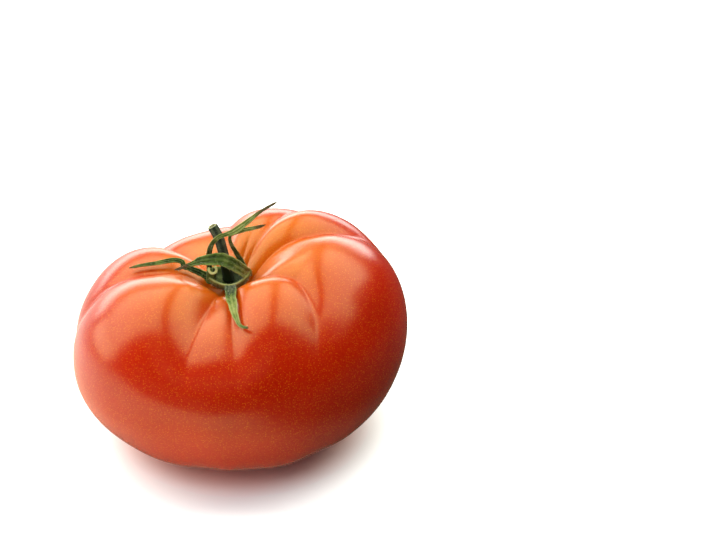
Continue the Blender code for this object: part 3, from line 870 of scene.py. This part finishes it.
def floor_glow():
    """The floor's light in the skin: reddish and weak close to the fruit, weaker behind and to the right."""
    n = Nodes("floor_glow")
    place = n.new("ShaderNodeSeparateXYZ", {"Vector": n.place()})
    x, y = place.outputs["X"], place.outputs["Y"]
    far = n.math("SQRT", n.math("ADD", n.math("MULTIPLY", x, x), n.math("MULTIPLY", y, y)))
    colour = n.mix(n.spread(far, 0.05, 0.15), (1.0, 0.62, 0.42, 1.0), (1.0, 0.93, 0.84, 1.0))
    right = n.spread(x, 0.07, -0.02, 0.06, 1.0)
    behind = n.spread(y, 0.02, 0.16, 1.0, 0.6)
    beneath = n.spread(far, 0.035, 0.07, 0.15, 1.0)
    shade = n.math("MULTIPLY", n.math("MULTIPLY", right, behind), beneath)
    colour = n.mix(shade, (0.012, 0.004, 0.003, 1.0), colour)
    n.put(n.shader.inputs["Emission Color"], colour)
    n.shader.inputs["Emission Strength"].default_value = 2.1
    n.shader.inputs["Base Color"].default_value = (0.0, 0.0, 0.0, 1.0)
    n.shader.inputs["Specular IOR Level"].default_value = 0.0
    return n.material


def glow(name, strength, colour=(1.0, 1.0, 1.0)):
    material = bpy.data.materials.new(name)
    material.use_nodes = True
    tree = material.node_tree
    tree.nodes.clear()
    light = tree.nodes.new("ShaderNodeEmission")
    light.inputs["Color"].default_value = (*colour, 1.0)
    light.inputs["Strength"].default_value = strength
    out = tree.nodes.new("ShaderNodeOutputMaterial")
    tree.links.new(light.outputs[0], out.inputs[0])
    return material


def add_stage(name, mesh, material, seen_by):
    """A stage piece, seen only by the kinds of ray that are named."""
    mesh.materials.append(material)
    item = bpy.data.objects.new(name, mesh)
    bpy.context.scene.collection.objects.link(item)
    for kind in ("camera", "diffuse", "glossy", "transmission", "volume_scatter", "shadow"):
        setattr(item, "visible_" + kind, kind in seen_by)


def flat_mesh(name, corners):
    mesh = bpy.data.meshes.new(name)
    mesh.from_pydata(corners, [], [list(range(len(corners)))])
    return mesh


def add_floor():
    """A floor in three layers, for the camera, for soft light and for reflections, and a pale surround."""
    turns = np.linspace(0.0, 2.0 * math.pi, CIRCLE_CORNERS, endpoint=False)
    circle = np.stack([np.cos(turns), np.sin(turns), np.zeros(CIRCLE_CORNERS)], axis=-1)
    floor = flat_mesh("floor", (circle * FLOOR_RADIUS).tolist())
    add_stage("floor", floor, floor_material(), ("camera", "transmission"))
    bounce = flat_mesh("floor_bounce", (circle * FLOOR_RADIUS - [0.0, 0.0, 0.0003]).tolist())
    add_stage("floor_bounce", bounce, floor_bounce(), ("diffuse",))
    corners = [(-1.6, -0.34, -0.0005), (1.6, -0.34, -0.0005), (1.6, 1.8, -0.0005), (-1.6, 1.8, -0.0005)]
    add_stage("floor_glow", flat_mesh("floor_glow", corners), floor_glow(), ("glossy",))
    heights = np.linspace(0.0, 0.5 * math.pi, 12)
    shell = [np.array([math.cos(h), math.cos(h), math.sin(h)]) * (circle + [0, 0, 1]) for h in heights]
    backdrop = grid_mesh("backdrop", (np.stack(shell) * BACKDROP_RADIUS - [0, 0, 0.002]) / MM)
    add_stage("backdrop", backdrop, glow("pale_backdrop", BACKDROP_GLOW), ("camera",))
    surround = flat_mesh("surround", (circle * BACKDROP_RADIUS - [0, 0, 0.001]).tolist())
    add_stage("surround", surround, glow("pale_surround", BACKDROP_GLOW), ("camera",))


def add_light(name, place, target, size, power, glossy=True, colour=(1.0, 1.0, 1.0)):
    """A soft box that faces its target; without glossy it isn't seen in the skin."""
    light = bpy.data.lights.new(name, "AREA")
    light.shape = "RECTANGLE"
    light.size, light.size_y = size
    light.energy = power
    light.color = colour
    item = bpy.data.objects.new(name, light)
    bpy.context.scene.collection.objects.link(item)
    item.location = place
    item.rotation_euler = (Vector(target) - Vector(place)).to_track_quat("-Z", "Y").to_euler()
    item.visible_camera = False
    item.visible_glossy = glossy


def add_lights():
    left, right = (-0.81, 0.375), (0.485, 0.375)
    add_light("left_box", (*left, BOX_HEIGHT), (*left, 0.0), (1.50, 0.95), 19.5, colour=WARM)
    add_light("right_box", (*right, BOX_HEIGHT), (*right, 0.0), (0.85, 0.95), 11.5, glossy=False, colour=WARM)
    seen = flat_mesh("right_box_glow", [(x, y, BOX_HEIGHT) for x, y in BOX_OUTLINE])
    add_stage("right_box_glow", seen, glow("box_glow", BOX_GLOW, WARM), ("glossy",))
    panel = (1.0, 0.9, 0.72)
    add_light("left_panel", (-1.6, 0.47, 0.33), (-0.5, 0.47, 0.25), (1.05, 0.46), 7.5, colour=panel)
    add_light("back_panel", (-0.3, 1.1, 0.20), (-0.2, 0.0, 0.05), (1.8, 0.36), 9.5)
    add_light("front_fill", (-0.7, -1.0, 0.28), (0.0, 0.0, 0.03), (1.2, 0.5), 4.4, glossy=False)
    add_light("front_top", (-0.3, -0.9, 1.1), (0.0, -0.1, 0.0), (1.0, 0.6), 8.5, glossy=False)
    world = bpy.data.worlds.new("studio")
    world.use_nodes = True
    world.node_tree.nodes["Background"].inputs["Color"].default_value = (1.0, 1.0, 1.0, 1.0)
    world.node_tree.nodes["Background"].inputs["Strength"].default_value = 0.03
    bpy.context.scene.world = world


def add_camera():
    camera = bpy.data.cameras.new("camera")
    camera.sensor_fit = "HORIZONTAL"
    camera.sensor_width = 36.0
    camera.lens = 100.8
    camera.clip_start = 0.01
    camera.clip_end = 20.0
    item = bpy.data.objects.new("camera", camera)
    bpy.context.scene.collection.objects.link(item)
    item.location = (0.03541, -0.50985, 0.34872)
    item.rotation_euler = (math.radians(59.7), 0.0, 0.0)
    bpy.context.scene.camera = item


def main():
    build_fruit(skin_material())
    hair = hair_material()
    build_hairs(build_calyx(leaf_material()), "calyx", hair)
    build_hairs(build_stalk(stalk_material()), "stalk", hair)
    add_floor()
    add_lights()
    add_camera()
    bpy.context.scene.view_settings.view_transform = "Standard"


main()
